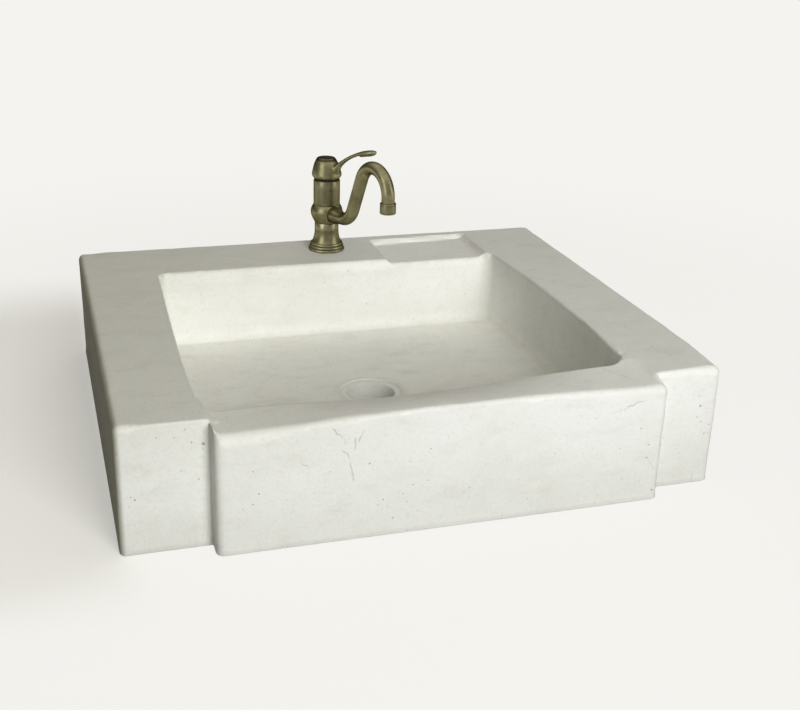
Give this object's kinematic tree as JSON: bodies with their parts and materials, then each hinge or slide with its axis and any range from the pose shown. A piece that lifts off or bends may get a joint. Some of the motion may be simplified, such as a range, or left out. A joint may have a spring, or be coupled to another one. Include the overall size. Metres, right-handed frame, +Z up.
{
  "type": "stone kitchen sink",
  "caption": "Carved limestone farmhouse sink with a proud apron, scooped front rim and soap rest, and a brass single-lever mixer tap with a swivelling spout on its rear deck.",
  "frame": {"origin": "middle of the sink's footprint, apron included, on its underside", "axes": "+X to the right along the front, +Y towards the back face, +Z up"},
  "size_m": [0.7, 0.626, 0.3116],
  "materials": {
    "limestone": "honed, worn edges",
    "aged_brass": "brushed antique",
    "dark_bronze": "satin, dark",
    "raw_brass": "machined",
    "zinc_steel": "zinc plated",
    "black_rubber": "moulded",
    "slip_plastic": "smooth",
    "cartridge_plastic": "moulded",
    "white_ceramic": "lapped"
  },
  "bodies": {
    "sink": {"basin_block": "limestone", "foot_column": "aged_brass", "foot_gasket": "black_rubber", "mounting_shank": "raw_brass", "rubber_washer": "black_rubber", "clamp_washer": "zinc_steel", "back_nut": "raw_brass", "lower_slip_ring": "slip_plastic", "upper_slip_ring": "slip_plastic", "spout_seal_lower": "black_rubber", "spout_seal_upper": "black_rubber", "cartridge_barrel": "aged_brass", "cartridge_housing": "cartridge_plastic", "cartridge_base": "cartridge_plastic", "cartridge_base_seals": "black_rubber", "fixed_ceramic_disc": "white_ceramic", "cartridge_nut": "raw_brass", "cover_ring": "dark_bronze"},
    "spout": {"swivel_collar": "aged_brass", "spout_tube": "aged_brass", "aerator_housing": "aged_brass", "aerator_seal": "black_rubber", "aerator_insert": "cartridge_plastic"},
    "temperature_carrier": {"stem_carrier": "cartridge_plastic", "pivot_pin": "zinc_steel"},
    "lever": {"cartridge_stem": "raw_brass", "lever_handle": "aged_brass", "handle_screw": "zinc_steel", "index_cap": "dark_bronze"},
    "mixing_disc": {"moving_ceramic_disc": "white_ceramic", "disc_driver": "cartridge_plastic"}
  },
  "joints": [
    {"name": "spout_swivel", "type": "hinge", "parent": "sink", "child": "spout", "pos_m": [0.007, 0.261, 0.207], "axis": [0, 0, 1], "range_deg": [-93, 57]},
    {"name": "lever_turn", "type": "hinge", "parent": "sink", "child": "temperature_carrier", "pos_m": [0.007, 0.261, 0.2454], "axis": [0, 0, 1], "range_deg": [-85, 15]},
    {"name": "lever_lift", "type": "hinge", "parent": "temperature_carrier", "child": "lever", "pos_m": [0.007, 0.261, 0.2454], "axis": [-0.8192, -0.5736, 0], "range_deg": [0, 22]},
    {"name": "disc_slide", "type": "slide", "parent": "temperature_carrier", "child": "mixing_disc", "axis": [0.5736, -0.8192, 0], "range_m": [0, 0.0025]}
  ],
  "couplings": [
    {"joint": "disc_slide", "follows": "lever_lift", "m_per_rad": 0.00605}
  ]
}
